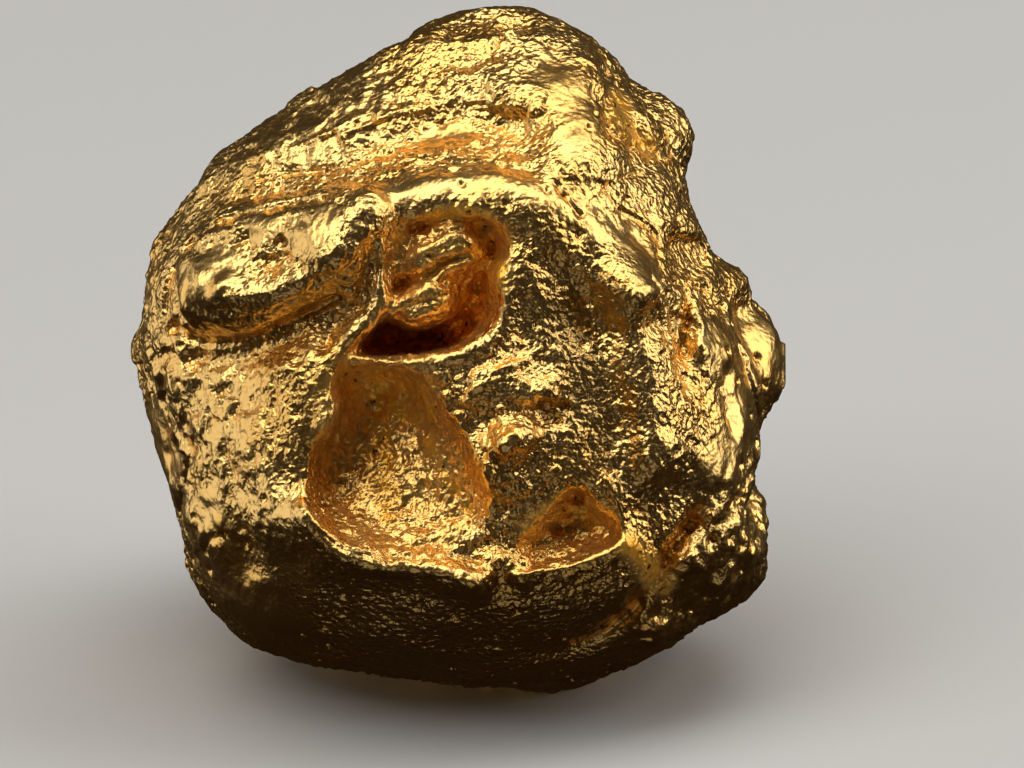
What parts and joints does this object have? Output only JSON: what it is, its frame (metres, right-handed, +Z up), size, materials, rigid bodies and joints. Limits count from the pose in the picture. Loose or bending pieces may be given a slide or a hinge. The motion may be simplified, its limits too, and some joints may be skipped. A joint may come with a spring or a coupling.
{
  "type": "gold nugget",
  "caption": "Chunky water-worn gold nugget with a hollowed face, a pebble caught in a pocket, a brow and a thumb-like lobe.",
  "frame": {"origin": "middle of the bounding box in plan, at the worn flat underneath that the nugget rests on", "axes": "+Z up and +X to the right as the broad hollowed face is seen; that face looks towards -Y and leans back 22 degrees"},
  "size_m": [0.0132, 0.0116, 0.0132],
  "materials": {
    "native_gold": "water-worn native gold, bright on the high places and matt orange in the hollows"
  },
  "bodies": {
    "root": {"nugget": "native_gold"}
  },
  "joints": []
}
